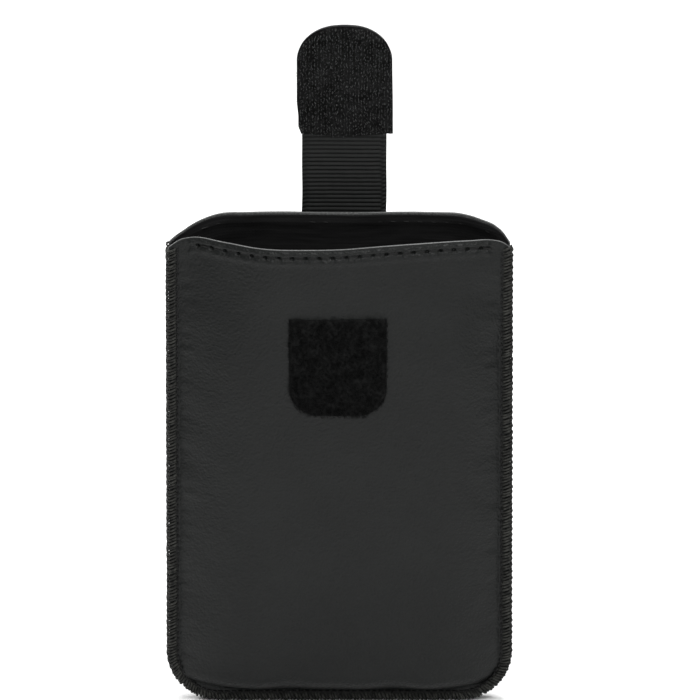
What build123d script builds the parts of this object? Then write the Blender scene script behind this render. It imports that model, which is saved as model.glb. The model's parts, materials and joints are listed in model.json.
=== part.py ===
"""Soft leather slip-in camera pouch with a ribbon strap, in millimetres.

The pouch stands upright: +Z is up, its front faces -Y, and +X is to the right seen from the front.
The origin is at the bottom centre of the whole object. Two panels, each leather backed with fabric,
are overlocked together round both sides and the bottom. A ribbon sewn to the outside of the back panel
stands up behind the mouth. It folds over the mouth, and its hook tab meets the loop patch in front.
"""

from build123d import *
import math
import os

os.makedirs("parts", exist_ok=True)

# Driving dimensions of the pouch
body_width = 82.0         # over the overlocked edges
front_height = 120.4      # middle of the front rim above the ground
back_height = 122.4       # middle of the back rim
corner_height = 119.2     # both rims where they meet the side seams
corner_radius = 12.0      # bottom corners of the panels
leather = 0.88            # thickness of the leather
lining = 0.5              # thickness of the fabric lining
ply_gap = 0.02            # air between two layers lying on each other
seam_gap = 0.1            # air between each lining and the seam plane
lining_set_back = 0.3     # how far the lining stops short of the leather's edge
thread = 0.5              # thickness of the overlock thread over the edge
overlock_width = 2.3      # how far the overlock reaches in from the panel's edge
overlock_clearance = 0.25 # air between the overlock thread and the panels, which already rise under it
front_belly = 4.6         # inside depth of the front panel at mid height, from the seam plane
front_lip = 3.8           # the same at the front rim
back_belly = 6.1          # the same for the back panel
back_lip = 9.1
rise_run = 20.0           # distance over which a panel rises from its seam to its full depth
rise_power = 2.4          # how much steeper the rise is at the seam than at its top
soft_start = 1.0          # the rise starts softly over this distance
flat_margin = 1.1         # flat leather between the overlock and the start of that rise
bottom_steepness = 1.5    # the panels rise faster from the bottom seam than from the sides
seam_y = -2.75            # the side seams' plane, which puts the origin in the middle of the depth

# Driving dimensions of the stitching
stitch_pitch = 3.2
stitch_length = 2.3
stitch_width = 0.5
stitch_proud = 0.3        # how far a stitch stands out of its surface
stitch_slant = 9.0        # degrees that each lockstitch leans from its row
stitch_lift = 0.15        # air under a stitch, which leaves room for the curve of the face
rim_margin = 2.5          # row of stitches under each rim
rim_row_end = 4.0         # that row stops this far short of the side edges
needle_inset = 0.7        # needle thread's line, in from the overlock's inner edge

# Driving dimensions of the strap and the closure
ribbon_width = 20.0
ribbon = 0.7              # thickness of the ribbon
ribbon_clearance = 0.1    # air between the back rim and the ribbon behind it
strap_x = 1.1             # the strap sits a little right of the middle
anchor_bottom = 104.0     # lower end of the ribbon sewn to the back panel
anchor_top = 121.6
fold_height = 123.1       # axis of the first fold, just above the back rim
fold_clear = 0.65         # each ribbon piece ends this far from a fold's axis
tab_width = 22.9
tab_top = 171.7
tab_top_radius = 8.3
tab_foot_radius = 1.5
tab_leather = 0.9
hook = 1.0                # thickness of the hook patch
hook_border = 0.4         # leather left showing round the hook patch
loop = 1.1                # thickness of the loop patch
loop_width = 23.2
loop_top = 102.4
loop_bottom = 77.2
loop_corner_radius = 7.2
loop_x = -0.4
closed_clearance = 0.4    # between hooks and loops with the strap folded over
edge_margin = 2.0         # stitches run this far inside the edges of the ribbon and the tab
row_end = 1.5             # the tab's side rows start and stop this far short of their ends

# Sizes that follow from those
panel_half = body_width / 2 - thread
wall = lining + ply_gap + leather
overlock_inner = seam_gap + wall + overlock_clearance
overlock_outer = overlock_inner + thread
cut_depth = 60.0          # deeper than the whole object
front = (0, -1, 0)
back = (0, 1, 0)
front_sizes = (front_belly, front_lip, -1)
back_sizes = (back_belly, back_lip, 1)


def distance_inside(x, z):
    """Distance inside the seam line, a U whose wide corners leave the panels flat at the bottom corners."""
    line = overlock_width + flat_margin
    across = abs(x) - (panel_half - line - rise_run)
    down = rise_run - (z - thread - line) * bottom_steepness
    corner = math.hypot(max(across, 0.0), max(down, 0.0))
    return rise_run - corner - min(max(across, down), 0.0)


def rise(x, z):
    """0 at the seam and 1 on the flat middle of a panel, with a soft start."""
    inside = distance_inside(x, z)
    softened = (inside + math.hypot(inside, soft_start)) / 2
    share = min(softened / rise_run, 1.0)
    return 1.0 - (1.0 - share) ** rise_power


def depth(x, z, belly, lip):
    """Distance of a panel's inner face from the seam plane."""
    half = front_height / 2
    towards_rim = max(z - half, 0.0) / half
    return seam_gap + rise(x, z) * (belly + (lip - belly) * towards_rim ** 2)


def panel_y(x, z, belly, lip, side, outside=0.0):
    """Y of a panel's inner face, or of a face some distance outside it; side is -1 in front, 1 behind."""
    return seam_y + side * (depth(x, z, belly, lip) + outside)


def panel_surface(belly, lip, side):
    """The inner face of a panel, with its points closest together beside the seams."""
    columns = 31
    rows = 30
    overhang = 2.0
    above_rim = 5.0
    crowding_across = 0.75
    crowding_up = 1.6
    height = overhang + back_height + above_rim
    points = []
    for row in range(rows):
        z = -overhang + height * (row / (rows - 1)) ** crowding_up
        line = []
        for column in range(columns):
            share = column / (columns - 1)
            eased = share - crowding_across * math.sin(2 * math.pi * share) / (2 * math.pi)
            x = (panel_half + overhang) * (2 * eased - 1)
            line.append(Vector(x, panel_y(x, z, belly, lip, side), z))
        points.append(line)
    return Face.make_surface_from_array_of_points(points)


def rim_height(x, middle):
    """Height of a rim, an arc that is highest in the middle."""
    return middle - (middle - corner_height) * (x / panel_half) ** 2


def panel_outline(plane, middle, grow=0.0):
    """A panel's flat outline on a plane, or the same outline grown all round."""
    half = panel_half + grow
    low = thread - grow
    radius = corner_radius + grow
    shoulder = corner_height + grow
    with BuildSketch(plane) as outline:
        with BuildLine():
            RadiusArc((-half + radius, low), (-half, low + radius), radius)
            Line((-half, low + radius), (-half, shoulder))
            ThreePointArc((-half, shoulder), (0, middle + grow), (half, shoulder))
            Line((half, shoulder), (half, low + radius))
            RadiusArc((half, low + radius), (half - radius, low), radius)
            Line((half - radius, low), (-half + radius, low))
        make_face()
    return outline.sketch


def tab_outline(plane, border=0.0):
    """The tab's flat outline on a plane, round at its free end, or the same outline drawn in."""
    width = tab_width - 2 * border
    length = tab_top - tab_foot - 2 * border
    with BuildSketch(plane) as outline:
        with Locations((strap_x, tab_foot + border)):
            Rectangle(width, length, align=(Align.CENTER, Align.MIN))
        fillet(outline.vertices().group_by(Axis.Y)[-1], tab_top_radius - border)
        fillet(outline.vertices().group_by(Axis.Y)[0], tab_foot_radius)
    return outline.sketch


def rim_stitches(middle):
    """Centres of the stitches under a rim, evenly spaced and following it."""
    count = int((2 * panel_half - 2 * rim_row_end) / stitch_pitch)
    first = -(count - 1) * stitch_pitch / 2
    centres = []
    for number in range(count):
        x = first + number * stitch_pitch
        centres.append((x, rim_height(x, middle) - rim_margin))
    return centres


front_surface = panel_surface(*front_sizes)
back_surface = panel_surface(*back_sizes)


def layer(surface, start, thickness, way):
    """Fills a layer of even thickness that starts a given distance outside a surface."""
    placed = surface.moved(Location((0, start * way[1], 0)))
    extrude(placed, amount=thickness, dir=way)


def keep_inside(outline):
    """Cuts the piece down to what an upright outline holds, front to back."""
    extrude(outline, amount=cut_depth, both=True, mode=Mode.INTERSECT)


# Strap geometry: the ribbon's plane just behind the back rim, and the span between the two folds
back_face_at_rim = depth(strap_x, anchor_top, back_belly, back_lip) + wall
front_face_at_patch = depth(loop_x, loop_top, front_belly, front_lip) + wall
ribbon_y = seam_y + back_face_at_rim + ribbon_clearance + ribbon / 2
closed_y = seam_y - front_face_at_patch - loop - closed_clearance - hook - ribbon / 2
span = ribbon_y - closed_y
second_fold = fold_height + span
tab_foot = second_fold + fold_clear
print("first fold at y", round(ribbon_y, 3), "z", fold_height)
print("second fold at y", round(ribbon_y, 3), "z", round(second_fold, 3), "span", round(span, 3))


# ---------------------------------------------------------------- panels
with BuildPart() as front_leather_panel:
    layer(front_surface, lining + ply_gap, leather, front)
    keep_inside(panel_outline(Plane.XZ, front_height))
front_leather_panel.part.label = "front_leather_panel"

with BuildPart() as back_leather_panel:
    layer(back_surface, lining + ply_gap, leather, back)
    keep_inside(panel_outline(Plane.XZ, back_height))
back_leather_panel.part.label = "back_leather_panel"

with BuildPart() as front_lining:
    layer(front_surface, 0, lining, front)
    keep_inside(panel_outline(Plane.XZ, front_height, -lining_set_back))
front_lining.part.label = "front_lining"

with BuildPart() as back_lining:
    layer(back_surface, 0, lining, back)
    keep_inside(panel_outline(Plane.XZ, back_height, -lining_set_back))
back_lining.part.label = "back_lining"

# ---------------------------------------------------------------- overlocked edge
seam_plane = Plane.XZ.offset(-seam_y)

with BuildPart() as edge_overlock:
    extrude(panel_outline(seam_plane, back_height, thread), amount=overlock_outer, both=True)
    inner = panel_outline(seam_plane, back_height + body_width, -overlock_width)
    extrude(inner, amount=cut_depth, both=True, mode=Mode.SUBTRACT)
    hollow = panel_outline(seam_plane, back_height, ply_gap)
    extrude(hollow, amount=overlock_inner, both=True, mode=Mode.SUBTRACT)
    with BuildSketch(Plane.XY.offset(corner_height)):
        Rectangle(2 * body_width, cut_depth)
    extrude(amount=cut_depth, mode=Mode.SUBTRACT)
edge_overlock.part.label = "edge_overlock"


def surface_plane(x, z, sizes, outside, slant=0.0):
    """A plane on a panel's face, some distance outside its inner face, with its own X along the rim."""
    side = sizes[2]
    step = 0.2
    here = Vector(x, panel_y(x, z, *sizes, outside), z)
    right = Vector(x + step, panel_y(x + step, z, *sizes, outside), z) - here
    up = Vector(x, panel_y(x, z + step, *sizes, outside), z + step) - here
    along = right.normalized()
    outward = along.cross(up).normalized() * -side
    turned = along.rotate(Axis((0, 0, 0), outward), slant)
    return Plane(origin=here, x_dir=turned, z_dir=outward)


def stitches(centres, sizes, outside, slant=stitch_slant):
    """Short stitches lying on a panel's face, one at each centre."""
    planes = [surface_plane(x, z, sizes, outside, slant) for x, z in centres]
    with BuildPart() as row:
        with BuildSketch(*planes):
            SlotOverall(stitch_length, stitch_width)
        extrude(amount=stitch_proud)
    return row.part


# ---------------------------------------------------------------- stitching
outer_face = wall + stitch_lift
inner_face = -stitch_lift

with BuildPart() as front_rim_stitching:
    add(stitches(rim_stitches(front_height), front_sizes, outer_face))
    add(stitches(rim_stitches(front_height), front_sizes, inner_face - stitch_proud))
front_rim_stitching.part.label = "front_rim_stitching"

beside_strap = []
for place in rim_stitches(back_height):
    if abs(place[0] - strap_x) > ribbon_width / 2 + stitch_length:
        beside_strap.append(place)

with BuildPart() as back_rim_stitching:
    add(stitches(beside_strap, back_sizes, outer_face))
    add(stitches(rim_stitches(back_height), back_sizes, inner_face - stitch_proud))
back_rim_stitching.part.label = "back_rim_stitching"

with BuildPart() as overlock_needle_thread:
    for start in (overlock_outer + ply_gap, -overlock_outer - ply_gap - stitch_proud):
        line_plane = seam_plane.offset(start)
        edge_line = needle_inset - overlock_width
        extrude(panel_outline(line_plane, back_height, edge_line), amount=stitch_proud)
        inside_line = panel_outline(line_plane, back_height + body_width, edge_line - stitch_width)
        extrude(inside_line, amount=stitch_proud, mode=Mode.SUBTRACT)
    with BuildSketch(Plane.XY.offset(corner_height)):
        Rectangle(2 * body_width, cut_depth)
    extrude(amount=cut_depth, mode=Mode.SUBTRACT)
overlock_needle_thread.part.label = "overlock_needle_thread"

# ---------------------------------------------------------------- closure patch
with BuildPart() as loop_patch:
    layer(front_surface, wall + ply_gap, loop, front)
    with BuildSketch(Plane.XZ) as patch_outline:
        with Locations((loop_x, loop_bottom)):
            Rectangle(loop_width, loop_top - loop_bottom, align=(Align.CENTER, Align.MIN))
        fillet(patch_outline.vertices().group_by(Axis.Y)[0], loop_corner_radius)
    keep_inside(patch_outline.sketch)
loop_patch.part.label = "loop_patch"

# ---------------------------------------------------------------- strap
anchor_middle = (anchor_bottom + anchor_top) / 2
anchor_height = anchor_top - anchor_bottom

with BuildPart() as strap_anchor_ribbon:
    layer(back_surface, wall + ply_gap, ribbon, back)
    with BuildSketch(Plane.XZ) as anchor_outline:
        with Locations((strap_x, anchor_middle)):
            Rectangle(ribbon_width, anchor_height)
    keep_inside(anchor_outline.sketch)
strap_anchor_ribbon.part.label = "strap_anchor_ribbon"

box_half = ribbon_width / 2 - edge_margin
box_height = anchor_height - 2 * edge_margin
across_count = int(2 * box_half / stitch_pitch)
up_count = int(box_height / stitch_pitch)
across = []
for number in range(across_count):
    x = strap_x + (number - (across_count - 1) / 2) * stitch_pitch
    across.append((x, anchor_middle + box_height / 2))
    across.append((x, anchor_middle - box_height / 2))
upright = []
for number in range(up_count):
    z = anchor_middle + (number - (up_count - 1) / 2) * stitch_pitch
    upright.append((strap_x - box_half, z))
    upright.append((strap_x + box_half, z))

with BuildPart() as strap_anchor_stitching:
    on_ribbon = wall + ply_gap + ribbon + stitch_lift
    add(stitches(across, back_sizes, on_ribbon, slant=0.0))
    add(stitches(upright, back_sizes, on_ribbon, slant=90.0))
strap_anchor_stitching.part.label = "strap_anchor_stitching"


def ribbon_piece(low, high):
    """A flat upright length of the ribbon."""
    with BuildPart() as piece:
        with Locations((strap_x, ribbon_y, (low + high) / 2)):
            Box(ribbon_width, ribbon, high - low)
    return piece.part


with BuildPart() as strap_bridge_ribbon:
    add(ribbon_piece(fold_height + fold_clear, second_fold - fold_clear))
strap_bridge_ribbon.part.label = "strap_bridge_ribbon"

with BuildPart() as strap_tab_ribbon:
    add(ribbon_piece(tab_foot, tab_top - tab_top_radius))
strap_tab_ribbon.part.label = "strap_tab_ribbon"

with BuildPart() as tab_leather_backing:
    backing_plane = Plane.XZ.offset(-(ribbon_y + ribbon / 2 + ply_gap))
    extrude(tab_outline(backing_plane), amount=-tab_leather)
tab_leather_backing.part.label = "tab_leather_backing"

with BuildPart() as hook_patch:
    hook_plane = Plane.XZ.offset(-(ribbon_y - ribbon / 2 - ply_gap))
    extrude(tab_outline(hook_plane, hook_border), amount=hook)
hook_patch.part.label = "hook_patch"

with BuildPart() as tab_stitching:
    thread_plane = Plane.XZ.offset(-(ribbon_y + ribbon / 2 + 2 * ply_gap + tab_leather))
    side_count = int((tab_top - tab_foot - tab_top_radius - 2 * row_end) / stitch_pitch)
    foot_count = int((tab_width - 3 * edge_margin) / stitch_pitch)
    with BuildSketch(thread_plane) as tab_marks:
        for number in range(side_count):
            z = tab_foot + edge_margin + row_end + number * stitch_pitch
            for side in (-1, 1):
                with Locations(Location((strap_x + side * (tab_width / 2 - edge_margin), z), 90)):
                    SlotOverall(stitch_length, stitch_width)
        for number in range(foot_count):
            x = strap_x + (number - (foot_count - 1) / 2) * stitch_pitch
            with Locations((x, tab_foot + edge_margin)):
                SlotOverall(stitch_length, stitch_width)
        arc_radius = tab_top_radius - edge_margin
        for side in (-1, 1):
            for turn in (15, 45, 75):
                angle = math.radians(turn)
                x = strap_x + side * (tab_width / 2 - tab_top_radius + arc_radius * math.cos(angle))
                z = tab_top - tab_top_radius + arc_radius * math.sin(angle)
                with Locations(Location((x, z), side * (90 + turn))):
                    SlotOverall(stitch_length, stitch_width)
        with Locations((strap_x, tab_top - edge_margin)):
            SlotOverall(stitch_length, stitch_width)
    extrude(tab_marks.sketch, amount=-stitch_proud)
tab_stitching.part.label = "tab_stitching"

# ---------------------------------------------------------------- export
for item in (
    front_leather_panel,
    back_leather_panel,
    front_lining,
    back_lining,
    edge_overlock,
    overlock_needle_thread,
    front_rim_stitching,
    back_rim_stitching,
    loop_patch,
    strap_anchor_ribbon,
    strap_anchor_stitching,
    strap_bridge_ribbon,
    strap_tab_ribbon,
    tab_leather_backing,
    hook_patch,
    tab_stitching,
):
    export_step(item.part, f"parts/{item.part.label}.step")
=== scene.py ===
"""Soft leather slip-in pouch with an overlocked edge, a ribbon strap and a hook-and-loop closure.

Lengths are in millimetres until add_piece() turns them into metres. A panel's depth is its distance from the
plane of the side seams, positive away from it on the panel's own side: -Y in front and +Y behind.
"""
import json
import math
import random

import bmesh
import bpy
import numpy as np
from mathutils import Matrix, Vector


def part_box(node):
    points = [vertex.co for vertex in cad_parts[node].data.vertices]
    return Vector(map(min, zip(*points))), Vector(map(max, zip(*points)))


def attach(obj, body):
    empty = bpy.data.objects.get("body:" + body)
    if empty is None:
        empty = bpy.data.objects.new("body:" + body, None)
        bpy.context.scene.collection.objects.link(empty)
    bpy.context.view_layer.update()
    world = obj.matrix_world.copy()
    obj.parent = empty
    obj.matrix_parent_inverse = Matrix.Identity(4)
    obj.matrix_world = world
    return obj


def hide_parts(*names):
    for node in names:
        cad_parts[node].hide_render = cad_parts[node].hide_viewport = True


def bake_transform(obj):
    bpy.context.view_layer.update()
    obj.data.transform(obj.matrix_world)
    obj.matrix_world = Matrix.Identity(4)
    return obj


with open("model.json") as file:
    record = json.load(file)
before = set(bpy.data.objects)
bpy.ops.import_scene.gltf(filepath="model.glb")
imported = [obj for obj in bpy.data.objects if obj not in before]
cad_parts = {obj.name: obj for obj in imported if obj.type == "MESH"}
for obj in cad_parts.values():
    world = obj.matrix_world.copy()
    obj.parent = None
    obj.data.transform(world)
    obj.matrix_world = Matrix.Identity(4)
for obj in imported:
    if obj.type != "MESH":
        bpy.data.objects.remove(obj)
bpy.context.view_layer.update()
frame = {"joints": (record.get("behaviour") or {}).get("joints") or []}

MM = 0.001
FRONT = -1
BACK = 1


def box_mm(node):
    """Lowest and highest corners of a CAD node, in millimetres."""
    low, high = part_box(node)
    return np.array(low) / MM, np.array(high) / MM


# ---------------------------------------------------------------- places taken from the frame
panel_low, panel_high = box_mm("front_leather_panel")
overlock_low, overlock_high = box_mm("edge_overlock")
anchor_low, anchor_high = box_mm("strap_anchor_ribbon")
tab_low, tab_high = box_mm("tab_leather_backing")
hook_high = box_mm("hook_patch")[1]
loop_low, loop_high = box_mm("loop_patch")
joints = {joint["name"]: np.array(joint["pos_m"]) / MM for joint in frame["joints"]}
first_fold = joints["strap_fold"]
second_fold = joints["tab_fold"]
half = panel_high[0]
base = panel_low[2]
seam_y = (overlock_low[1] + overlock_high[1]) / 2
ribbon_y = first_fold[1]
strap_x = first_fold[0]
ribbon_width = anchor_high[0] - anchor_low[0]

# Thicknesses of the layers, and the seams
leather = 0.88
lining = 0.5
ribbon = 0.7
ply_gap = 0.02
edge_depth = 1.5
corner_radius = 12.0
seam_inset = 2.45
stitch_pitch = 3.2
rim_margin = 2.05
rim_row_end = 36.2
overlock_pitch = 0.8
needle_inset = 1.98
rib_pitch = 1.07


# ---------------------------------------------------------------- small helpers
def smooth_curve(points, at):
    """A smooth curve through a few (place, value) points, read at other places."""
    places, values = np.array(points, float).T
    slopes = np.gradient(values, places)
    first = np.clip(np.searchsorted(places, at) - 1, 0, len(places) - 2)
    span = places[first + 1] - places[first]
    t = np.clip((at - places[first]) / span, 0, 1)
    from_first = (2 * t ** 3 - 3 * t ** 2 + 1) * values[first]
    from_first = from_first + (t ** 3 - 2 * t ** 2 + t) * span * slopes[first]
    from_second = (3 * t ** 2 - 2 * t ** 3) * values[first + 1]
    from_second = from_second + (t ** 3 - t ** 2) * span * slopes[first + 1]
    return from_first + from_second


def smoothstep(low, high, value):
    """A smooth step from 0 at low to 1 at high, where low may also be the greater of the two."""
    t = np.clip((value - low) / (high - low), 0, 1)
    return t * t * (3 - 2 * t)


def ripples(x, z, size, seed, count=14):
    """Irregular waves about size long, roughly between -1 and 1."""
    chance = random.Random(seed)
    total = np.zeros(np.broadcast(x, z).shape)
    for _ in range(count):
        way = chance.uniform(0, 2 * math.pi)
        length = size * chance.uniform(0.7, 1.6)
        phase = chance.uniform(0, 2 * math.pi)
        total += np.sin((x * math.cos(way) + z * math.sin(way)) * 2 * math.pi / length + phase)
    return total / math.sqrt(count)


def bell(distance, width):
    """A smooth bump, 1 in the middle and nearly 0 beyond twice the width."""
    return np.exp(-(distance / width) ** 2)


# ---------------------------------------------------------------- shape of the panels
# Rims are (x, height) points and lips are (x, outer depth) points, from the left seam to the right one.
# The belly is how far a filled panel stands out from its edge, and a lip's shape fades in above it.
front_rim_points = [(-40.5, 119.3), (-38, 121.1), (-35.5, 121.8), (-27, 121.3), (-18.5, 120.75), (0, 120.65),
                    (9.6, 120.9), (21.6, 121.2), (31, 121.3), (36.6, 121.1), (39, 120.4), (40.5, 119.2)]
back_rim_points = [(-40.5, 119.6), (-38.5, 121.2), (-36.4, 122.4), (-31.9, 122.9), (-20, 122.9), (20, 122.8),
                   (33.6, 122.7), (37.2, 122.0), (38.8, 121.2), (40.5, 119.4)]
front_lip_points = [(-40.5, 1.5), (-35.5, 1.8), (-27, 3.6), (-18.5, 6.0), (-9, 6.4), (0, 6.2), (9.6, 5.0),
                    (21.6, 3.6), (31, 2.5), (36.6, 1.9), (40.5, 1.5)]
back_lip_points = [(-40.5, 1.5), (-36.4, 3.0), (-31.9, 7.6), (-28.0, 10.0), (-23, 10.7), (0, 10.7),
                   (24, 10.7), (28, 10.0), (33.6, 7.3), (37.2, 4.9), (40.5, 1.5)]
rim_points = {FRONT: front_rim_points, BACK: back_rim_points}
lip_points = {FRONT: front_lip_points, BACK: back_lip_points}
belly = {FRONT: 4.6, BACK: 6.0}
lip_start = {FRONT: 88.0, BACK: 64.0}
lip_full = {FRONT: 118.5, BACK: 119.5}


def rim_height(x, side):
    return smooth_curve(rim_points[side], x)


def half_width(z):
    """Half the panel's width at a height, round at the bottom corners."""
    below = np.clip(corner_radius - (z - base), 0, corner_radius)
    return half - corner_radius + np.sqrt(corner_radius ** 2 - below ** 2)


def body_depth(x, z, side):
    """Outer depth of a filled panel: flat at the seams, rising quickly and then levelling out."""
    left_run = 20.0
    left_power = 2.4
    right_run = 20.0
    right_power = 2.3
    if side == FRONT:
        upper = smoothstep(30, 100, z)
        right_run = 16 - 4.5 * upper
        right_power = 2.1 - 0.45 * upper
    bottom_run = 5.0
    bottom_power = 2.2
    side_run = np.where(x < 0, left_run, right_run)
    side_power = np.where(x < 0, left_power, right_power)
    across = np.clip(1 - (half - np.abs(x) - seam_inset) / side_run, 0, None)
    down = np.clip(1 - (z - base - seam_inset) / bottom_run, 0, None)
    corner = np.hypot(across, down)
    power = (across ** 2 * side_power + down ** 2 * bottom_power) / (across ** 2 + down ** 2 + 1e-9)
    power = np.where(corner < 1e-6, 2.0, power)
    rise = 1 - np.clip(corner, 0, 1) ** power
    flattened = 1 - 0.05 * (x / 25.0) ** 2
    return edge_depth + rise * belly[side] * flattened


def panel_depth(x, z, side):
    """Outer depth with the lip: the front one sags forward left of the middle, the back one stands away."""
    lip = smooth_curve(lip_points[side], x)
    share = smoothstep(lip_start[side], lip_full[side], z)
    return body_depth(x, z, side) * (1 - share) + lip * share


def rim_row_marks(x, z, side):
    """A shallow channel under the rim with a hole at every stitch, and leather that puffs up between them."""
    channel_depth = 0.13
    hole_depth = 0.72
    hole_size = (0.44, 0.40)
    below_rim = rim_height(x, side) - z
    from_row = below_rim - rim_margin
    in_row = smoothstep(rim_row_end, rim_row_end - 0.8, np.abs(x))
    if side == BACK:
        in_row = in_row * smoothstep(ribbon_width / 2, ribbon_width / 2 + 1, np.abs(x - strap_x))
    to_hole = (x / stitch_pitch - np.floor(x / stitch_pitch) - 0.5) * stitch_pitch
    hole = np.exp(-np.hypot(to_hole / hole_size[0], from_row / hole_size[1]) ** 4)
    between_holes = bell(to_hole - stitch_pitch / 2 * np.sign(to_hole + 1e-9), 1.0)
    puffs = (0.15 + 0.20 * between_holes) * (bell(from_row - 1.3, 0.8) + bell(from_row + 0.95, 0.5))
    thinned_rim = 0.10 * bell(below_rim - 0.1, 0.35)
    return (puffs - channel_depth * bell(from_row, 0.5) - hole_depth * hole) * in_row - thinned_rim


def leather_marks(x, z, side):
    """Small relief of the leather: the rim's row, puckers at the seams, scallops below, and unevenness."""
    from_seam = half - np.abs(x) - seam_inset
    from_bottom = z - base - seam_inset
    inner = smoothstep(2, 14, from_seam) * smoothstep(3, 16, from_bottom)
    puckers = 0.07 * ripples(x * 0.35, z, 3.4, 5 + side) * bell(from_seam - 1.2, 2.6)
    tugs = 0.16 * ripples(x * 0.5, z, 11.0, 15 + side) * bell(from_seam - 2.0, 6.0)
    scallops = 0.34 * ripples(x, z * 0.6, 15.0, 25 + side) * bell(from_bottom - 2.5, 3.0)
    sags = 0.10 * ripples(x, z, 30.0, 35 + side) * inner
    dents = 0.022 * ripples(x, z, 7.5, 45 + side) * inner
    marks = rim_row_marks(x, z, side) + puckers + tugs + scallops + sags + dents
    return marks * smoothstep(-0.2, 1.6, from_seam + 1.0)


def panel_point(x, z, side, outside=0.0, marks=0.0):
    """Point on a panel, some distance outside its outer face."""
    depth = panel_depth(x, z, side) + outside + marks
    return np.stack(np.broadcast_arrays(x, seam_y + side * depth, z), axis=-1)


def panel_grid(side, columns, rows, set_back=0.0):
    """Places (x, z) over a whole panel: level rows below, rows that follow the rim above."""
    straight = 100.0
    lower_share = 0.62
    u = np.linspace(-1, 1, columns)
    u = u + 0.10 * np.sin(math.pi * u)
    lower = int(rows * lower_share)
    below = np.linspace(0, 1, lower, endpoint=False)
    below = below - 0.04 * np.sin(math.pi * below)
    level = np.concatenate([base + set_back + below * (straight - base - set_back),
                            np.linspace(straight, panel_high[2] - set_back, rows - lower)])
    x = u[None, :] * (half_width(level)[:, None] - set_back)
    climb = np.clip((level - straight) / (level[-1] - straight), 0, 1)[:, None]
    top = rim_height(x, side) - set_back
    z = np.where(climb > 0, straight + climb * (top - straight), level[:, None])
    return x, z


# ---------------------------------------------------------------- meshes
def add_piece(name, points, faces, materials, body, slot, replaces=(), indices=None, uv=None):
    """A mesh piece from points in millimetres, riding on a body (None leaves it free for a blend)."""
    mesh = bpy.data.meshes.new(name)
    mesh.from_pydata((np.asarray(points, float) * MM).tolist(), [], [tuple(face) for face in faces])
    for material in materials:
        mesh.materials.append(material)
    if indices is not None:
        mesh.polygons.foreach_set("material_index", np.asarray(indices, np.int32))
    if uv is not None:
        layer = mesh.uv_layers.new(name="UVMap")
        corners = np.zeros(len(mesh.loops), np.int32)
        mesh.loops.foreach_get("vertex_index", corners)
        layer.data.foreach_set("uv", np.asarray(uv, np.float32)[corners].ravel())
    shaped = bmesh.new()
    shaped.from_mesh(mesh)
    bmesh.ops.recalc_face_normals(shaped, faces=shaped.faces)
    shaped.to_mesh(mesh)
    shaped.free()
    mesh.polygons.foreach_set("use_smooth", np.full(len(mesh.polygons), True))
    mesh.update()
    piece = bpy.data.objects.new(name, mesh)
    bpy.context.scene.collection.objects.link(piece)
    if body is not None:
        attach(piece, body)
    if replaces:
        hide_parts(*replaces)
    return piece


def shell(outer, inner, bulge=0.1):
    """A closed shell between two grids of the same size, with edges rounded by bulge.

    Returns points, faces and a material index for each face: 0 outside, 1 on the edges, 2 inside.
    """
    rows, columns = outer.shape[:2]
    points = [outer.reshape(-1, 3), inner.reshape(-1, 3)]
    number = np.arange(rows * columns).reshape(rows, columns)
    quads = np.stack([number[:-1, :-1], number[:-1, 1:], number[1:, 1:], number[1:, :-1]], axis=-1)
    quads = quads.reshape(-1, 4)
    faces = [quads, quads[:, ::-1] + rows * columns]
    indices = [np.zeros(len(quads), int), np.full(len(quads), 2)]
    rim = np.concatenate([number[0, :-1], number[:-1, -1], number[-1, :0:-1], number[:0:-1, 0]])
    inside = np.concatenate([number[1, :-1], number[:-1, -2], number[-2, :0:-1], number[:0:-1, 1]])
    flat_outer = outer.reshape(-1, 3)
    flat_inner = inner.reshape(-1, 3)
    away = flat_outer[rim] - flat_outer[inside]
    away = away / (np.linalg.norm(away, axis=1)[:, None] + 1e-9)
    rings = [rim]
    offset = 2 * rows * columns
    for share in (0.12, 0.4, 0.7, 0.92):
        lift = bulge * math.sqrt(1 - (2 * share - 1) ** 2)
        ring = flat_outer[rim] * (1 - share) + flat_inner[rim] * share + away * lift
        points.append(ring)
        rings.append(np.arange(len(rim)) + offset)
        offset += len(rim)
    rings.append(rim + rows * columns)
    for first, second in zip(rings[:-1], rings[1:]):
        strip = np.stack([first, np.roll(first, -1), np.roll(second, -1), second], axis=-1)
        faces.append(strip)
        indices.append(np.ones(len(strip), int))
    return np.concatenate(points), np.concatenate(faces), np.concatenate(indices)


def tube(path, radius, sides=6):
    """A closed tube along a path, narrower at its ends, with radius a number or one for each point."""
    end_share = 0.55
    path = np.asarray(path, float)
    count = len(path)
    along = np.gradient(path, axis=0)
    along /= np.linalg.norm(along, axis=1)[:, None] + 1e-12
    guide = np.array([0.0, 1.0, 0.0])
    if abs(along @ guide).mean() > 0.8:
        guide = np.array([1.0, 0.0, 0.0])
    side = np.cross(along, guide)
    side /= np.linalg.norm(side, axis=1)[:, None] + 1e-12
    up = np.cross(side, along)
    sizes = np.zeros(count) + radius
    sizes[0] *= end_share
    sizes[-1] *= end_share
    turn = np.linspace(0, 2 * math.pi, sides, endpoint=False)
    ring = side[:, None] * np.cos(turn)[None, :, None] + up[:, None] * np.sin(turn)[None, :, None]
    points = (path[:, None] + ring * sizes[:, None, None]).reshape(-1, 3)
    number = np.arange(count * sides).reshape(count, sides)
    nearer = number[:-1]
    farther = number[1:]
    quads = np.stack([nearer, np.roll(nearer, -1, 1), np.roll(farther, -1, 1), farther], -1).reshape(-1, 4)
    faces = [tuple(quad) for quad in quads]
    faces.append(tuple(number[0][::-1]))
    faces.append(tuple(number[-1]))
    return points, faces


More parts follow.
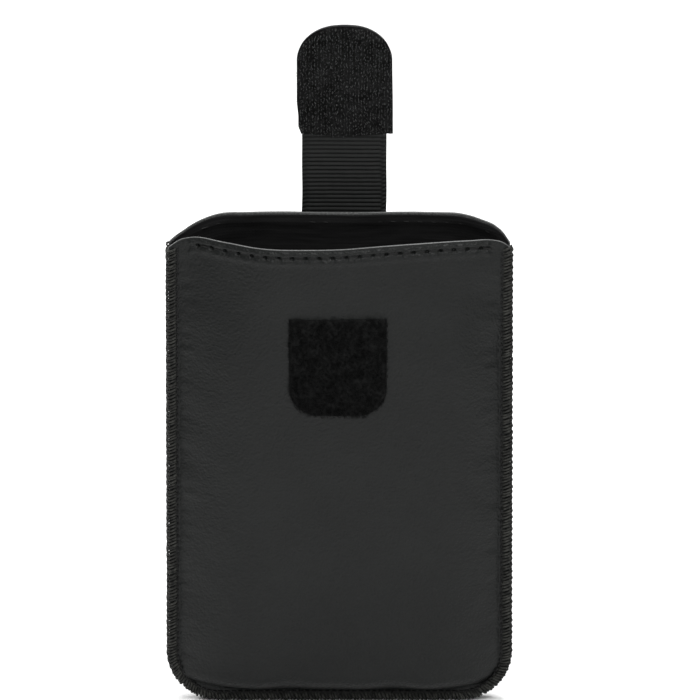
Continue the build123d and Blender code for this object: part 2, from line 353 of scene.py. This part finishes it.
def joined(parts):
    """Many (points, faces) as one."""
    points = []
    faces = []
    offset = 0
    for part_points, part_faces in parts:
        points.append(part_points)
        faces.extend(tuple(corner + offset for corner in face) for face in part_faces)
        offset += len(part_points)
    return np.concatenate(points), faces


# ---------------------------------------------------------------- materials
class Nodes:
    """Builds a material's nodes with short calls."""

    def __init__(self, name, coordinates="Object"):
        self.material = bpy.data.materials.new(name)
        self.material.use_nodes = True
        self.tree = self.material.node_tree
        self.shader = self.tree.nodes["Principled BSDF"]
        self.place = self.add("ShaderNodeTexCoord").outputs[coordinates]

    def add(self, kind, **values):
        node = self.tree.nodes.new(kind)
        for key, value in values.items():
            if hasattr(node, key):
                setattr(node, key, value)
            else:
                node.inputs[key.replace("_", " ")].default_value = value
        return node

    def link(self, source, target):
        self.tree.links.new(source, target)

    def noise(self, scale, detail=2.0, roughness=0.5, stretch=None):
        place = self.place
        if stretch is not None:
            mapping = self.add("ShaderNodeMapping")
            mapping.inputs["Scale"].default_value = stretch
            self.link(place, mapping.inputs["Vector"])
            place = mapping.outputs["Vector"]
        node = self.add("ShaderNodeTexNoise", Scale=scale, Detail=detail, Roughness=roughness)
        self.link(place, node.inputs["Vector"])
        return node.outputs["Fac"]

    def cells(self, scale):
        node = self.add("ShaderNodeTexVoronoi", Scale=scale)
        self.link(self.place, node.inputs["Vector"])
        return node.outputs["Distance"]

    def waves(self, scale, distortion=0.0, direction="X"):
        node = self.add("ShaderNodeTexWave", Scale=scale, Distortion=distortion)
        node.bands_direction = direction
        self.link(self.place, node.inputs["Vector"])
        return node.outputs["Fac"]

    def maths(self, operation, first, second):
        node = self.add("ShaderNodeMath", operation=operation)
        for socket, value in zip(node.inputs, (first, second)):
            if isinstance(value, (int, float)):
                socket.default_value = value
            else:
                self.link(value, socket)
        return node.outputs[0]

    def span(self, source, low, high, new_low, new_high):
        node = self.add("ShaderNodeMapRange")
        for key, value in zip(("From Min", "From Max", "To Min", "To Max"), (low, high, new_low, new_high)):
            node.inputs[key].default_value = value
        self.link(source, node.inputs["Value"])
        return node.outputs["Result"]

    def colours(self, source, low, high, first, second):
        node = self.add("ShaderNodeValToRGB")
        node.color_ramp.elements[0].position = low
        node.color_ramp.elements[0].color = (*first, 1)
        node.color_ramp.elements[1].position = high
        node.color_ramp.elements[1].color = (*second, 1)
        self.link(source, node.inputs["Fac"])
        self.link(node.outputs["Color"], self.shader.inputs["Base Color"])

    def relief(self, heights):
        """Bumps from (height source, distance in millimetres, strength) rows, chained."""
        before = None
        for source, distance, strength in heights:
            bump = self.add("ShaderNodeBump", Strength=strength, Distance=distance * MM)
            self.link(source, bump.inputs["Height"])
            if before is not None:
                self.link(before, bump.inputs["Normal"])
            before = bump.outputs["Normal"]
        self.link(before, self.shader.inputs["Normal"])

    def set(self, **values):
        for key, value in values.items():
            self.shader.inputs[key.replace("_", " ")].default_value = value


def leather_material(name, dark, light, roughness):
    """Finely grained black leather with small glints."""
    made = Nodes(name)
    pebble = made.cells(1500.0)
    fine = made.noise(2600.0, 3.0, 0.6)
    pores = made.noise(900.0, 2.0, 0.55)
    wear = made.noise(55.0, 3.0, 0.5)
    made.colours(wear, 0.3, 0.7, dark, light)
    sparkle = made.span(fine, 0.35, 0.75, roughness + 0.10, roughness - 0.16)
    made.link(sparkle, made.shader.inputs["Roughness"])
    made.relief([(pores, 0.14, 0.7), (pebble, 0.12, 0.9), (fine, 0.10, 0.9)])
    made.set(Specular_IOR_Level=0.17)
    return made.material


def edge_material():
    """The cut edge of leather, lighter and fibrous."""
    made = Nodes("cut_leather_edge")
    fibres = made.noise(2200.0, 3.0, 0.6)
    made.colours(fibres, 0.3, 0.75, (0.022, 0.0225, 0.022), (0.085, 0.088, 0.086))
    made.relief([(fibres, 0.05, 0.6)])
    made.set(Roughness=0.5)
    return made.material


def lining_material():
    """Black woven lining with fine threads across."""
    made = Nodes("woven_lining")
    across = made.waves(420.0, 1.2, "Z")
    upright = made.waves(360.0, 1.2, "X")
    weave = made.maths("MULTIPLY", across, upright)
    streaks = made.noise(90.0, 3.0, 0.6, stretch=(1, 1, 9))
    made.colours(streaks, 0.3, 0.7, (0.0020, 0.0020, 0.0021), (0.0070, 0.0069, 0.0071))
    made.relief([(weave, 0.06, 0.6), (streaks, 0.15, 0.5)])
    made.set(Roughness=0.9, Specular_IOR_Level=0.12)
    return made.material


def thread_material(name, dark, light, twist=1400.0, roughness=0.7):
    """Twisted thread."""
    made = Nodes(name)
    fibres = made.noise(twist, 3.0, 0.6)
    tone = made.noise(900.0, 2.0, 0.6)
    made.colours(tone, 0.35, 0.68, dark, light)
    made.relief([(fibres, 0.05, 0.7)])
    made.set(Roughness=roughness, Specular_IOR_Level=0.2)
    return made.material


def ribbon_material():
    """Ribbed ribbon: fine warp threads along it, read from its own UV map in millimetres. Its colour is
    painted shade in the grooves between the ribs and painted highlight on their crests.
    """
    made = Nodes("grosgrain_ribbon", "UV")
    warp = made.waves(1.05, 0.6, "X")
    rib_shade_and_highlight = made.waves(math.pi / 10 / rib_pitch, 0.0, "Y")
    # Painted shade and highlight: dark bands in the rib grooves, light bands on the rib crests
    made.colours(rib_shade_and_highlight, 0.1, 0.85, (0.0012, 0.0013, 0.0012), (0.0105, 0.0113, 0.0108))
    made.relief([(warp, 0.03, 0.4), (made.noise(6.0, 2.0, 0.6), 0.03, 0.4)])
    made.set(Roughness=0.5, Specular_IOR_Level=0.13)
    return made.material


def pile_material(name, dark, light, roughness, gloss, fineness=450.0):
    """Nylon fibres of the hook and loop patches."""
    made = Nodes(name)
    tone = made.noise(fineness, 3.0, 0.7)
    # For the hooks the light end of this colour is painted glints; for the loops and the woven ground it is
    # random tone
    made.colours(tone, 0.38, 0.68, dark, light)
    made.relief([(made.noise(1800.0, 2.0, 0.6), 0.04, 0.6)])
    made.set(Roughness=roughness, Specular_IOR_Level=gloss)
    return made.material


body_leather = leather_material("body_leather", (0.0042, 0.0047, 0.0045), (0.0062, 0.0069, 0.0066), 0.42)
tab_leather = leather_material("tab_leather", (0.0042, 0.0045, 0.0044), (0.0062, 0.0066, 0.0064), 0.45)
cut_edge = edge_material()
woven_lining = lining_material()
overlock_thread = thread_material("overlock_thread", (0.0040, 0.0041, 0.0036), (0.0300, 0.0305, 0.0270))
sewing_thread = thread_material("sewing_thread", (0.0020, 0.0020, 0.0020), (0.0060, 0.0060, 0.0060),
                                twist=1800.0, roughness=0.6)
grosgrain = ribbon_material()
loop_fibre = pile_material("loop_pile", (0.0014, 0.0015, 0.0015), (0.0050, 0.0052, 0.0051),
                           roughness=0.8, gloss=0.1)
# The bright flecks in the hooks' colour are painted glints on black nylon
hook_nylon_painted_glints = pile_material("hook_nylon_painted_glints", (0.0025, 0.0026, 0.0025), (0.0480, 0.0490, 0.0485),
                           roughness=0.22, gloss=0.2, fineness=1900.0)
hook_ground = pile_material("hook_ground", (0.0020, 0.0020, 0.0020), (0.0090, 0.0092, 0.0091),
                            roughness=0.8, gloss=0.06)


# ---------------------------------------------------------------- panels
def leather_panel(name, node, side):
    """One leather panel, pared thinner at its rim, with the relief faint on its inner side."""
    x, z = panel_grid(side, 330, 350)
    marks = leather_marks(x, z, side)
    pared = 0.32 * bell(rim_height(x, side) - z, 1.0)
    outer = panel_point(x, z, side, 0, marks)
    inner = panel_point(x, z, side, -leather, marks * 0.3 + pared)
    points, faces, indices = shell(outer, inner, 0.14)
    materials = [body_leather, cut_edge, cut_edge]
    return add_piece(name, points, faces, materials, "pouch", "leather_body", [node], indices)


def lining_panel(name, node, side):
    """One lining, which lies on the inside of its leather and folds a little away from it."""
    set_back = 0.35
    outer_gap = leather + ply_gap + 0.1
    inner_gap = outer_gap + lining * 0.8
    x, z = panel_grid(side, 120, 170, set_back)
    to_row = rim_height(x, side) - z - rim_margin
    folds = 0.10 * ripples(x * 0.6, z, 9.0, 61 + side) * smoothstep(0, 9, half - np.abs(x))
    folds = folds + 0.12 * bell(to_row, 0.6) - 0.08 * (bell(to_row - 1.6, 0.9) + bell(to_row + 1.5, 0.8))
    against = panel_point(x, z, side, -outer_gap, np.minimum(-folds, 0.06))
    inside = panel_point(x, z, side, -inner_gap, -folds)
    points, faces, _ = shell(against, inside, 0.1)
    piece = add_piece(name, points, faces, [woven_lining], "pouch", "lining_fabric", [node])
    return piece


leather_panel("front_leather", "front_leather_panel", FRONT)
leather_panel("back_leather", "back_leather_panel", BACK)
lining_panel("front_lining_cloth", "front_lining", FRONT)
lining_panel("back_lining_cloth", "back_lining", BACK)


# ---------------------------------------------------------------- stitches
def stitch(start, end, outward, radius=0.2, arch=0.13, dive=0.5):
    """One stitch that comes up out of a hole, lies nearly flush and goes down the next hole."""
    t = np.array([0, 0.06, 0.18, 0.35, 0.5, 0.65, 0.82, 0.94, 1.0])
    height = np.array([-dive, -0.10, arch * 0.55, arch * 0.95, arch, arch * 0.95, arch * 0.55, -0.10, -dive])
    path = start[None, :] * (1 - t)[:, None] + end[None, :] * t[:, None] + outward[None, :] * height[:, None]
    return tube(path, radius)


def rim_stitches(side, outside, skip_strap):
    """The row of stitches along a rim, on its outer face or on the lining."""
    out = 1.0 if outside else -1.0
    lift = -0.30 if outside else -leather - lining - ply_gap + 0.20
    to_hole = 0.45
    tilt = 0.12
    holes_each_side = int(rim_row_end / stitch_pitch)
    parts = []
    holes = (np.arange(-holes_each_side, holes_each_side + 1) + 0.5) * stitch_pitch
    for first, second in zip(holes[:-1], holes[1:]):
        if skip_strap and abs((first + second) / 2 - strap_x) < ribbon_width / 2:
            continue
        ends = []
        for x, nudge in ((first + to_hole, tilt), (second - to_hole, -tilt)):
            z = rim_height(x, side) - rim_margin + nudge
            ends.append(panel_point(np.array(x), np.array(z), side, lift))
        outward = np.array([0.0, side * out, 0.0])
        parts.append(stitch(ends[0], ends[1], outward))
    return parts


for name, node, side in (("front_rim_thread", "front_rim_stitching", FRONT),
                         ("back_rim_thread", "back_rim_stitching", BACK)):
    rows = rim_stitches(side, True, side == BACK) + rim_stitches(side, False, False)
    add_piece(name, *joined(rows), [sewing_thread], "pouch", "sewing_thread", [node])


# ---------------------------------------------------------------- overlocked edge
def edge_line(distance):
    """Places and outward directions along the panels' edge: down the left, along the bottom, up the right."""
    straight = overlock_high[2] - base - corner_radius
    bend = corner_radius * math.pi / 2
    bottom = 2 * (half - corner_radius)
    lengths = np.cumsum([straight, bend, bottom, bend, straight])
    s = np.asarray(distance, float)
    place = np.zeros(s.shape + (2,))
    outward = np.zeros(s.shape + (2,))
    low_z = base + corner_radius
    low_x = half - corner_radius
    for number in range(5):
        begin = lengths[number - 1] if number else 0.0
        here = s >= begin if number > 0 else np.ones(s.shape, bool)
        if number < 4:
            here = here & (s <= lengths[number])
        along = s[here] - begin
        if number == 0:
            place[here] = np.stack([np.full(along.shape, -half), low_z + straight - along], -1)
            outward[here] = (-1, 0)
        elif number == 2:
            place[here] = np.stack([-low_x + along, np.full(along.shape, base)], -1)
            outward[here] = (0, -1)
        elif number == 4:
            place[here] = np.stack([np.full(along.shape, half), low_z + along], -1)
            outward[here] = (1, 0)
        else:
            turn = along / corner_radius
            if number == 1:
                way = np.stack([-np.cos(turn), -np.sin(turn)], -1)
                middle = np.array([-low_x, low_z])
            else:
                way = np.stack([np.sin(turn), -np.cos(turn)], -1)
                middle = np.array([low_x, low_z])
            place[here] = middle + way * corner_radius
            outward[here] = way
    return place, outward, lengths[-1]


def edge_point(distance, inset, depth):
    """A point so far along the edge, so far in from it, and so far in front of (-) or behind the seam."""
    place, outward, _ = edge_line(distance)
    flat = place - outward * np.asarray(inset)[..., None]
    return np.stack([flat[..., 0], seam_y + depth, flat[..., 1]], -1)


def overlock_wrap():
    """One long thread wound round the edge, with a knot every other turn, pressed flat on the floor."""
    steps = 16
    middle_inset = 0.62
    reach_across = 1.05
    reach_through = 1.86
    thread_radius = 0.29
    lowest = 0.36
    length = edge_line(np.zeros(1))[2]
    turns = int(length / overlock_pitch)
    angle = np.linspace(0, 2 * math.pi * turns, turns * steps + 1)
    number = angle / (2 * math.pi)
    chance = random.Random(8)
    loose = np.array([chance.uniform(-1, 1) for _ in range(turns + 2)])
    unevenness = np.interp(number, np.arange(turns + 2), loose)
    across = np.cos(angle)
    through = np.sin(angle)
    outer = np.clip(across, 0, 1)
    knot = 0.5 + 0.5 * np.cos(math.pi * number)
    inset = middle_inset - reach_across * np.sign(across) * np.abs(across) ** 0.75
    inset = inset - 0.12 * knot * outer ** 2 + 0.10 * unevenness
    depth = reach_through * np.sign(through) * np.abs(through) ** 0.5
    slant = 0.30 * (inset - middle_inset) * np.sign(through + 1e-9) * np.abs(through) ** 0.3
    along = number * overlock_pitch + slant + 0.22 * unevenness
    path = edge_point(np.clip(along, 0, length), inset, depth)
    path[:, 2] = np.maximum(path[:, 2], lowest)
    return tube(path, thread_radius + 0.05 * unevenness + 0.05 * knot * outer)


def needle_row():
    """Short stitches in line just inside the overlock, on both faces."""
    length = edge_line(np.zeros(1))[2]
    pitch = 2 * overlock_pitch
    gap = 0.2
    depth = 1.66
    parts = []
    for number in range(int(length / pitch)):
        for way in (-1.0, 1.0):
            start = edge_point(np.array(number * pitch + gap), np.array(needle_inset), way * depth)
            end = edge_point(np.array((number + 1) * pitch - gap), np.array(needle_inset - 0.1), way * depth)
            outward = np.array([0.0, way, 0.0])
            parts.append(stitch(start, end, outward, radius=0.19, arch=0.20, dive=0.3))
    return parts


add_piece("overlock_wrapping", *overlock_wrap(), [overlock_thread], "pouch", "overlock_thread",
          ["edge_overlock"])
add_piece("overlock_needle_row", *joined(needle_row()), [sewing_thread], "pouch", "overlock_thread",
          ["overlock_needle_thread"])


# ---------------------------------------------------------------- ribbon
def ribbon_length(name, low, high, nodes):
    """A length of the ribbon, with woven ribs across it and a narrow selvedge at each side."""
    leaves_panel = (119.0, 122.5)
    highest_on_panel = 121.0
    selvedge = 1.0
    rows = int((high - low) * 9 / rib_pitch) + 1
    z = np.linspace(low, high, rows)[:, None]
    u = np.linspace(-1, 1, 61)
    u = (u + 0.12 * np.sin(math.pi * u))[None, :]
    across = u * ribbon_width / 2
    x = strap_x + across + 0.06 * ripples(z, 0 * z, 14.0, 71)
    z = z + 0 * x
    on_panel = seam_y + panel_depth(x, np.minimum(z, highest_on_panel), BACK) + 0.04 + ribbon / 2
    share = smoothstep(leaves_panel[0], leaves_panel[1], z)
    y = on_panel * (1 - share) + ribbon_y * share
    from_side = ribbon_width / 2 - np.abs(across)
    body = smoothstep(selvedge, selvedge + 0.5, from_side)
    rib = np.abs(np.sin(math.pi * z / rib_pitch)) ** 0.8
    zigzag = np.sin(2 * math.pi * (z / rib_pitch) + from_side * 2.4 * np.sign(across))
    woven = 0.30 + 0.70 * (rib * body + 0.55 * (1 - body)) + 0.20 * (1 - body) * zigzag
    thick = ribbon / 2 * woven + 0.025 * ripples(x, z * 0.4, 2.2, 72)
    thick = thick * (0.55 + 0.45 * smoothstep(-0.1, 0.5, from_side))
    wobble = 0.07 * ripples(x * 0.7, z, 16.0, 73)
    front_face = np.stack([x, y - thick + wobble, z], -1)
    back_face = np.stack([x, y + thick + wobble, z], -1)
    points, faces, _ = shell(front_face, back_face, 0.05)
    uv = np.stack([points[:, 0], points[:, 2]], -1)
    piece = add_piece(name, points, faces, [grosgrain], None, "grosgrain", [], uv=uv)
    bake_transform(piece)
    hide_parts(*nodes)
    return piece


# The bends lie round the joints, and the upper one ends just below the tab
bridge_middle = (first_fold[2] + second_fold[2]) / 2
ribbon_end = hook_high[2] - 8.0
ribbon_length("strap_ribbon_lower", anchor_low[2], bridge_middle,
              ["strap_anchor_ribbon", "strap_bridge_ribbon"])
ribbon_length("strap_ribbon_upper", bridge_middle, ribbon_end, ["strap_tab_ribbon"])


def anchor_stitches():
    """A box of stitches that holds the ribbon's end on the back panel."""
    parts = []
    reach = ribbon_width / 2 - 2.0
    bottom = anchor_low[2] + 2.0
    top = anchor_high[2] - 2.6
    outward = np.array([0.0, 1.0, 0.0])
    corners = [(-reach, bottom), (reach, bottom), (reach, top), (-reach, top), (-reach, bottom)]
    for (x0, z0), (x1, z1) in zip(corners[:-1], corners[1:]):
        length = math.hypot(x1 - x0, z1 - z0)
        count = round(length / stitch_pitch)
        for number in range(count):
            ends = []
            for share in ((number + 0.12) / count, (number + 0.88) / count):
                x = np.array(strap_x + x0 + (x1 - x0) * share)
                z = np.array(z0 + (z1 - z0) * share)
                ends.append(panel_point(x, z, BACK, ribbon))
            parts.append(stitch(ends[0], ends[1], outward, radius=0.2, arch=0.18))
    return parts


add_piece("strap_anchor_thread", *joined(anchor_stitches()), [sewing_thread], "pouch", "sewing_thread",
          ["strap_anchor_stitching"])


# ---------------------------------------------------------------- tab
tab_middle = (tab_low[0] + tab_high[0]) / 2
tab_half = (tab_high[0] - tab_low[0]) / 2
tab_corner_across = 10.2
tab_corner_down = 8.8
tab_top = tab_high[2] - 0.2
hook_hang = 0.6
backing_set_back = 0.35


def tab_edges(z, border=0.0):
    """Left and right edges of the tab at a height: round at the top, clipped at its lower left."""
    into = np.clip((z - (tab_top - tab_corner_down)) / (tab_corner_down - border), 0, 1)
    reach = tab_half - border - (tab_corner_across - border) * (1 - np.sqrt(1 - into ** 2))
    narrowed = 0.2 + 0.35 * smoothstep(tab_low[2] + 9, tab_low[2] + 4, z)
    clipped = narrowed + 0.6 * smoothstep(tab_low[2] + 2.2, tab_low[2], z)
    widened = 0.15 * smoothstep(tab_top - 8, tab_low[2] + 6, z)
    return tab_middle - reach + clipped, tab_middle + reach + widened


def tab_grid(rows, columns, border=0.0, hang=0.0):
    """Places over the tab, closer together round its top; its foot may hang lower in the middle."""
    t = np.linspace(0, 1, rows)
    t = (t + 0.12 * np.sin(math.pi * t))[:, None]
    u = np.linspace(0, 1, columns)[None, :]
    foot = tab_low[2] + border - hang * np.clip(1 - (2 * u - 1) ** 2 / 0.6, 0, 1) ** 0.7
    z = foot + t * (tab_top - border - foot)
    left, right = tab_edges(z, border)
    return left + (right - left) * u, z


def tab_backing():
    """Leather behind the hooks: rolled edges, a hollow over the ribbon and a channel where it is sewn."""
    x, z = tab_grid(110, 90, backing_set_back)
    left, right = tab_edges(z, backing_set_back)
    from_edge = np.minimum(np.minimum(x - left, right - x), np.minimum(tab_top - z, z - tab_low[2]))
    rolled = 0.25 * bell(from_edge, 0.45)
    channel = 0.10 * bell(from_edge - 2.0, 0.5) - 0.06 * bell(from_edge - 3.0, 0.7)
    uneven = 0.06 * ripples(x, z, 12.0, 81)
    over_ribbon = smoothstep(ribbon_width / 2 + 0.4, ribbon_width / 2, np.abs(x - strap_x))
    over_ribbon = over_ribbon * smoothstep(ribbon_end + 0.6, ribbon_end + 0.1, z)
    closed = hook_high[1] + 0.02
    hollow = tab_low[1] + 0.05 - closed
    front_face = np.stack([x, closed + hollow * over_ribbon, z], -1)
    back_face = np.stack([x, tab_high[1] - rolled - channel + uneven, z], -1)
    points, faces, _ = shell(back_face, front_face, 0.2)
    return add_piece("tab_leather", points, faces, [tab_leather], "strap_tab", "leather_tab",
                     ["tab_leather_backing"])


def hook_path(foot, height, reach, lean, way):
    """A hook that stands up from its foot and curls over, away from the tab's face."""
    stem = 0.3
    t = np.linspace(0, 1, 7)
    curl = np.clip(t * 1.7 - 0.5, 0, 1.2) * math.pi * 0.65
    rise = height * np.where(t < stem, t / stem * 0.6, 0.6 + 0.4 * np.sin(np.clip(curl, 0, math.pi) * 0.8))
    aside = way * reach * (1 - np.cos(curl)) * 0.7
    return np.stack([foot[0] + aside * math.sin(lean), foot[1] - rise, foot[2] + aside * math.cos(lean)], -1)


def hook_field():
    """A woven base with columns of small bent nylon hooks, which hang a little below the leather's foot."""
    border = 0.05
    column_pitch = 0.69
    row_pitch = 0.72
    thickness = 0.36
    base_y = hook_high[1] - thickness
    x, z = tab_grid(80, 70, border, hook_hang)
    weave = 0.07 * np.cos(math.pi * (x - tab_middle) / column_pitch) + 0.05 * ripples(x, z, 1.4, 91)
    front_face = np.stack([x, base_y - weave, z], -1)
    back_face = np.stack([x, np.full(x.shape, hook_high[1]), z], -1)
    points, faces, _ = shell(front_face, back_face, 0.05)
    parts = [(points, [tuple(face) for face in faces])]
    chance = random.Random(17)
    columns = int(2 * tab_half / column_pitch)
    rows = int((tab_top - tab_low[2] + hook_hang) / row_pitch)
    for column in range(columns):
        middle = tab_middle + (column - (columns - 1) / 2) * column_pitch
        first_row = tab_low[2] - hook_hang + 0.3 + 0.5 * (column % 2) * row_pitch
        for row in range(rows):
            height = first_row + row * row_pitch + chance.uniform(-0.16, 0.16)
            place = middle + chance.uniform(-0.14, 0.14)
            left, right = tab_edges(np.array(height), border)
            foot_drop = hook_hang * max(0.0, 1 - ((place - tab_middle) / tab_half) ** 2 / 0.6) ** 0.7
            if not left + 0.1 < place < right - 0.1:
                continue
            if not tab_low[2] + 0.2 - foot_drop < height < tab_top - 0.25:
                continue
            tall = chance.uniform(0.42, 0.62)
            reach = chance.uniform(0.3, 0.5)
            lean = chance.uniform(-0.8, 0.8)
            way = chance.choice((-1, 1))
            path = hook_path((place, base_y + 0.04, height), tall, reach, lean, way)
            parts.append(tube(path, chance.uniform(0.085, 0.12), 5))
    hook_points, hook_faces = joined(parts)
    indices = (np.arange(len(hook_faces)) < len(faces)).astype(int)
    materials = [hook_nylon_painted_glints, hook_ground]
    return add_piece("tab_hooks", hook_points, hook_faces, materials, "strap_tab", "hook_pile",
                     ["hook_patch"], indices)


def tab_thread():
    """Stitches round the back of the tab."""
    parts = []
    inset = 2.0
    across = tab_half - inset
    round_across = tab_corner_across - inset
    round_down = tab_corner_down - inset
    low = tab_low[2] + inset
    shoulder = tab_top - tab_corner_down
    route = [np.array([-across, low]), np.array([-across, shoulder])]
    for way, turns in ((-1, np.linspace(0, math.pi / 2, 8)[1:]), (1, np.linspace(math.pi / 2, 0, 8))):
        for turn in turns:
            aside = across - round_across * (1 - math.cos(turn))
            route.append(np.array([way * aside, shoulder + round_down * math.sin(turn)]))
    route.append(np.array([across, low]))
    route.append(np.array([-across, low]))
    route = np.array(route)
    steps = np.concatenate([[0], np.cumsum(np.linalg.norm(np.diff(route, axis=0), axis=1))])
    count = round(steps[-1] / stitch_pitch)
    for number in range(count):
        ends = []
        for share in ((number + 0.12) / count, (number + 0.88) / count):
            x = np.interp(share * steps[-1], steps, route[:, 0])
            z = np.interp(share * steps[-1], steps, route[:, 1])
            ends.append(np.array([tab_middle + x, tab_high[1] - 0.12, z]))
        parts.append(stitch(ends[0], ends[1], np.array([0.0, 1.0, 0.0]), radius=0.19, arch=0.14))
    return parts


tab_backing()
hook_field()
add_piece("tab_thread", *joined(tab_thread()), [sewing_thread], "strap_tab", "sewing_thread",
          ["tab_stitching"])


# ---------------------------------------------------------------- loop patch
def loop_edges(z):
    """Half the patch's width at a height: square at the top, round at the bottom."""
    radius = 7.2
    below = np.clip(radius - (z - loop_low[2]), 0, radius)
    return (loop_high[0] - loop_low[0]) / 2 - radius + np.sqrt(radius ** 2 - below ** 2)


def loop_field():
    """A soft pad of tangled loops: a woven base, and many fine fibres curled over it."""
    fibres = 5200
    overhang = 0.3
    middle = (loop_high[0] + loop_low[0]) / 2
    t = np.linspace(0, 1, 90)
    t = t - 0.10 * np.sin(math.pi * t)
    z = (loop_low[2] + t * (loop_high[2] - loop_low[2]))[:, None]
    u = np.linspace(-1, 1, 90)[None, :]
    x = middle + u * loop_edges(z)
    z = z + 0 * u
    from_edge = np.minimum(loop_edges(z) - np.abs(x - middle), np.minimum(loop_high[2] - z, z - loop_low[2]))
    pad = 0.50 + 0.10 * ripples(x, z, 1.3, 95, 20) + 0.08 * ripples(x, z, 4.0, 96)
    pad = pad * smoothstep(-0.2, 0.7, from_edge) + 0.15
    outer = panel_point(x, z, FRONT, pad)
    inner = panel_point(x, z, FRONT, 0.02)
    points, faces, _ = shell(outer, inner, 0.05)
    parts = [(points, [tuple(face) for face in faces])]
    chance = random.Random(23)
    t = np.linspace(0, 1, 5)
    for _ in range(fibres):
        z0 = chance.uniform(loop_low[2], loop_high[2])
        reach = float(loop_edges(np.array(z0)))
        x0 = middle + chance.uniform(-1, 1) * reach
        way = chance.uniform(0, 2 * math.pi)
        length = chance.uniform(0.5, 1.3)
        curl = chance.uniform(-1.6, 1.6)
        heading = way + curl * t
        px = x0 + np.cumsum(np.cos(heading)) * length / 5
        pz = z0 + np.cumsum(np.sin(heading)) * length / 5
        px = np.clip(px, middle - reach - overhang, middle + reach + overhang)
        pz = np.clip(pz, loop_low[2] - overhang, loop_high[2] + 0.25)
        near = max(min(reach - abs(x0 - middle), loop_high[2] - z0, z0 - loop_low[2]), 0)
        top = (0.42 + chance.uniform(0.1, 0.42)) * (0.55 + 0.45 * min(1.0, near / 0.8))
        lift = 0.25 + top * np.sin(math.pi * np.clip(t * 0.85 + 0.12, 0, 1))
        path = panel_point(px, pz, FRONT, lift)
        parts.append(tube(path, chance.uniform(0.045, 0.075), 3))
    loop_points, loop_faces = joined(parts)
    return add_piece("closure_loops", loop_points, loop_faces, [loop_fibre], "pouch", "loop_pile",
                     ["loop_patch"])


loop_field()


# ---------------------------------------------------------------- floor, light and camera
def floor():
    """A plain pale floor, far wider than the view."""
    size = 3.0
    corners = [(-size, -size, 0), (size, -size, 0), (size, size, 0), (-size, size, 0)]
    mesh = bpy.data.meshes.new("floor")
    mesh.from_pydata(corners, [], [(0, 1, 2, 3)])
    made = Nodes("pale_floor")
    made.set(Base_Color=(0.93, 0.93, 0.93, 1), Roughness=0.9, Specular_IOR_Level=0.1)
    mesh.materials.append(made.material)
    obj = bpy.data.objects.new("floor", mesh)
    bpy.context.scene.collection.objects.link(obj)


def softbox(name, place, aim, width, height, power):
    """A rectangular lamp: place, aim and size in metres, power in watts."""
    light = bpy.data.lights.new(name, "AREA")
    light.shape = "RECTANGLE"
    light.size = width
    light.size_y = height
    light.energy = power
    obj = bpy.data.objects.new(name, light)
    obj.location = place
    obj.rotation_euler = (Vector(aim) - Vector(place)).to_track_quat("-Z", "Y").to_euler()
    bpy.context.scene.collection.objects.link(obj)


# The upright leather mirrors the floor before it, so two lamps brighten the floor there and at the left
floor()
softbox("overhead", (0.03, 0.08, 0.60), (0.03, 0.05, 0.0), 0.30, 0.50, 4.5)
softbox("front_pool", (0.05, -0.20, 0.32), (0.04, -0.12, 0.0), 0.12, 0.16, 0.65)
softbox("left_pool", (-0.26, 0.16, 0.22), (-0.17, 0.13, 0.0), 0.06, 0.16, 0.7)
softbox("low_front", (0.16, -0.75, 0.13), (0.0, 0.0, 0.11), 0.20, 0.08, 0.7)

# The world lights softly, and shows as white behind the floor's edge
world = bpy.data.worlds.new("studio")
world.use_nodes = True
world_nodes = world.node_tree.nodes
backdrop = world_nodes["Background"]
backdrop.inputs["Color"].default_value = (1, 1, 1, 1)
path = world_nodes.new("ShaderNodeLightPath")
brightness = world_nodes.new("ShaderNodeMapRange")
brightness.inputs["To Min"].default_value = 0.35
brightness.inputs["To Max"].default_value = 1.0
world.node_tree.links.new(path.outputs["Is Camera Ray"], brightness.inputs["Value"])
world.node_tree.links.new(brightness.outputs["Result"], backdrop.inputs["Strength"])
bpy.context.scene.world = world
bpy.context.scene.view_settings.view_transform = "Standard"

# A long lens, 25 degrees above level, aimed so that the view's lower edge meets the pouch's foot
view_width = 166.6
foot_margin = 0.2
focal = 1600.0
sensor = 36.0
elevation = math.radians(25)
camera_data = bpy.data.cameras.new("camera")
camera_data.lens = focal
camera_data.sensor_width = sensor
camera_data.clip_end = 20
camera = bpy.data.objects.new("camera", camera_data)
aim_height = (view_width / 2 - foot_margin) / math.cos(elevation)
aim = Vector((2.5, seam_y, aim_height)) * MM
away = view_width * focal / sensor * MM
camera.location = aim + Vector((0, -math.cos(elevation), math.sin(elevation))) * away
camera.rotation_euler = (aim - camera.location).to_track_quat("-Z", "Y").to_euler()
bpy.context.scene.collection.objects.link(camera)
bpy.context.scene.camera = camera
